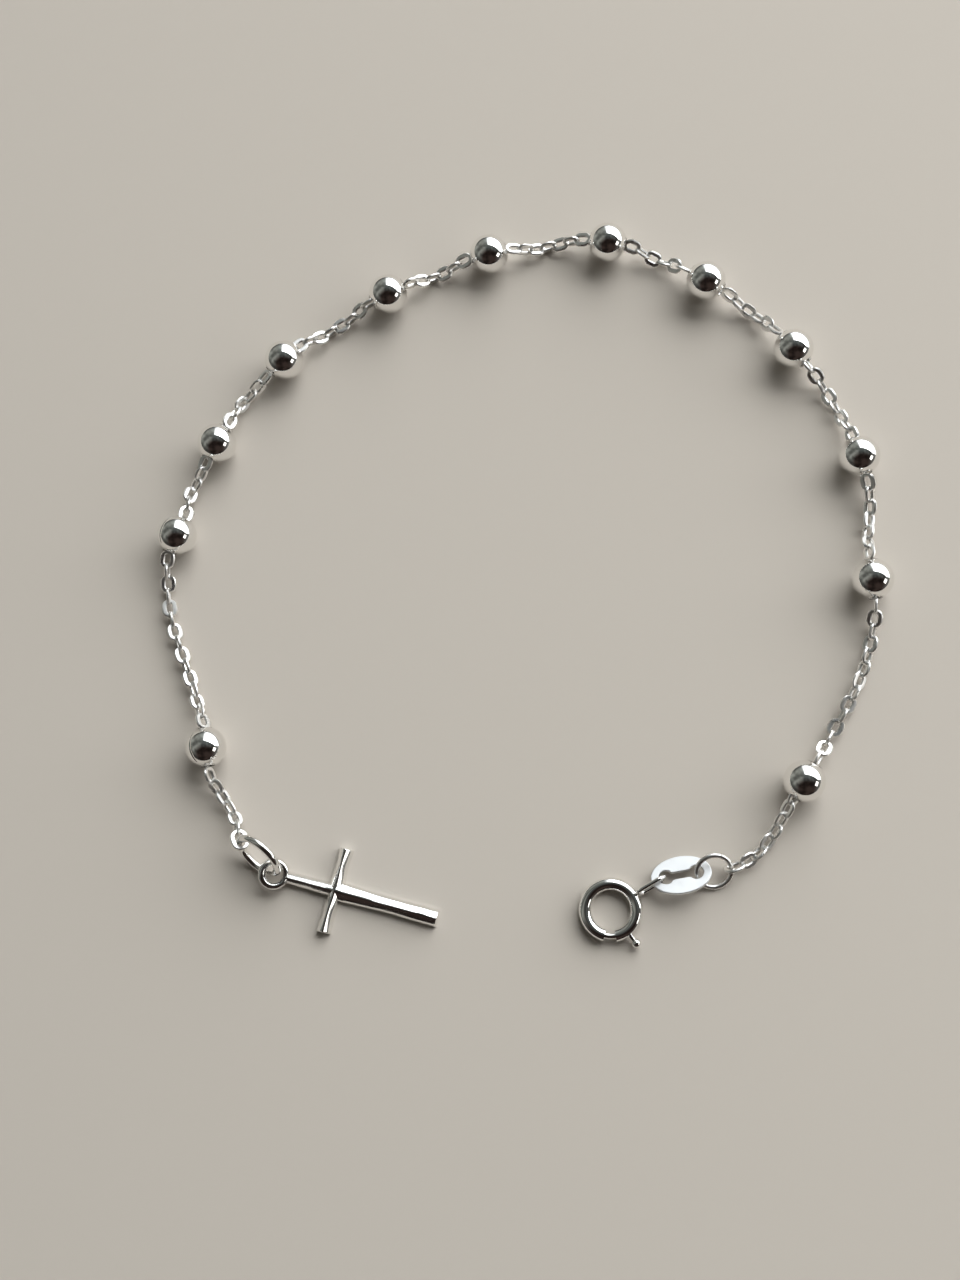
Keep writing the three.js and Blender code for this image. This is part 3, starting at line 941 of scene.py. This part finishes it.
def makeRoom():
    # a dim room for the silver to mirror, darkest towards the viewer, and a pale backdrop for the camera
    world = bpy.data.worlds.new("room")
    bpy.context.scene.world = world
    world.use_nodes = True
    tree = world.node_tree
    tree.nodes.clear()
    way = newNode(tree, "ShaderNodeTexCoord")
    result = newNode(tree, "ShaderNodeOutputWorld")
    color = None
    for aim, low, high, shade in stage["room"].values():
        dot = newNode(tree, "ShaderNodeVectorMath", operation="DOT_PRODUCT")
        dot.inputs[1].default_value = Vector(aim).normalized()
        ease = newNode(tree, "ShaderNodeMapRange", interpolation_type="SMOOTHSTEP")
        ease.inputs["From Min"].default_value = low
        ease.inputs["From Max"].default_value = high
        mix = newNode(tree, "ShaderNodeMix", data_type="RGBA", B=shade)
        linkNodes(
            tree,
            (way.outputs["Generated"], dot.inputs[0]),
            (dot.outputs["Value"], ease.inputs["Value"]),
            (ease.outputs[0], mix.inputs["Factor"]),
        )
        if color:
            linkNodes(tree, (color, mix.inputs["A"]))
        color = mix.outputs["Result"]
    clutter = newNode(tree, "ShaderNodeTexNoise", Scale=1.7, Detail=1, Roughness=0.4)
    varied = newNode(tree, "ShaderNodeMapRange")
    varied.inputs["From Min"].default_value = 0.38
    varied.inputs["From Max"].default_value = 0.62
    varied.inputs["To Min"].default_value = 1 / stage["roomClutter"]
    varied.inputs["To Max"].default_value = stage["roomClutter"]
    room = newNode(tree, "ShaderNodeBackground")
    backdrop = newNode(tree, "ShaderNodeBackground", Strength=1)
    backdrop.inputs["Color"].default_value = stage["backdrop"]
    path = newNode(tree, "ShaderNodeLightPath")
    choice = newNode(tree, "ShaderNodeMixShader")
    linkNodes(
        tree,
        (way.outputs["Generated"], clutter.inputs["Vector"]),
        (clutter.outputs["Fac"], varied.inputs["Value"]),
        (varied.outputs[0], room.inputs["Strength"]),
        (color, room.inputs["Color"]),
        (path.outputs["Is Camera Ray"], choice.inputs[0]),
        (room.outputs[0], choice.inputs[1]),
        (backdrop.outputs[0], choice.inputs[2]),
        (choice.outputs[0], result.inputs["Surface"]),
    )


def softenEdges(light):
    # the light fades towards its edges, as a curtained window does
    light.use_nodes = True
    tree = light.node_tree
    glow = tree.nodes["Emission"]
    spot = newNode(tree, "ShaderNodeNewGeometry")
    sides = newNode(tree, "ShaderNodeSeparateXYZ")
    linkNodes(tree, (spot.outputs["Parametric"], sides.inputs[0]))
    fades = []
    for side in ("X", "Y"):
        rest = newNode(tree, "ShaderNodeMath", operation="SUBTRACT")
        rest.inputs[0].default_value = 1
        inward = newNode(tree, "ShaderNodeMath", operation="MULTIPLY")
        fade = newNode(tree, "ShaderNodeMapRange", interpolation_type="SMOOTHSTEP")
        fade.inputs["From Max"].default_value = stage["edgeFade"]
        linkNodes(
            tree,
            (sides.outputs[side], rest.inputs[1]),
            (sides.outputs[side], inward.inputs[0]),
            (rest.outputs[0], inward.inputs[1]),
            (inward.outputs[0], fade.inputs["Value"]),
        )
        fades.append(fade.outputs[0])
    strength = newNode(tree, "ShaderNodeMath", operation="MULTIPLY")
    linkNodes(
        tree,
        (fades[0], strength.inputs[0]),
        (fades[1], strength.inputs[1]),
        (strength.outputs[0], glow.inputs["Strength"]),
    )


def makeLights():
    for name, (place, facing, width, height, brightness, color, mirrored) in stage["lights"].items():
        light = bpy.data.lights.new(name, "AREA")
        light.shape = "RECTANGLE"
        light.size, light.size_y = width, height
        light.energy = brightness * math.pi * width * height
        light.color = color
        softenEdges(light)
        lamp = bpy.data.objects.new(name, light)
        lamp.location = place
        lamp.rotation_mode = "QUATERNION"
        lamp.rotation_quaternion = Vector(facing).to_track_quat("-Z", "Y")
        lamp.visible_camera = False
        lamp.visible_glossy = mirrored
        bpy.context.scene.collection.objects.link(lamp)


view = {
    "place": (12.318, -28.796, 139.118),  # over the laid-out bracelet, in millimetres
    "right": (0.9961, 0, -0.0882),
    "down": (-0.01781, -0.9794, -0.20115),
    "lens": 40.12,
}


def makeCamera():
    camera = bpy.data.cameras.new("camera")
    camera.sensor_fit = "AUTO"
    camera.sensor_width = 36
    camera.lens = view["lens"]
    camera.clip_start = 0.005
    camera.clip_end = 20
    viewer = bpy.data.objects.new("camera", camera)
    right = Vector(view["right"]).normalized()
    rise = -Vector(view["down"]).normalized()
    back = right.cross(rise)
    turn = Matrix((right, back.cross(right), back)).transposed()
    viewer.matrix_world = Matrix.Translation(onSurface(*view["place"]) * mm) @ turn.to_4x4()
    bpy.context.scene.collection.objects.link(viewer)
    bpy.context.scene.camera = viewer


makeFloor()
makeRoom()
makeLights()
makeCamera()
bpy.context.scene.view_settings.view_transform = "Standard"
print("stage made")
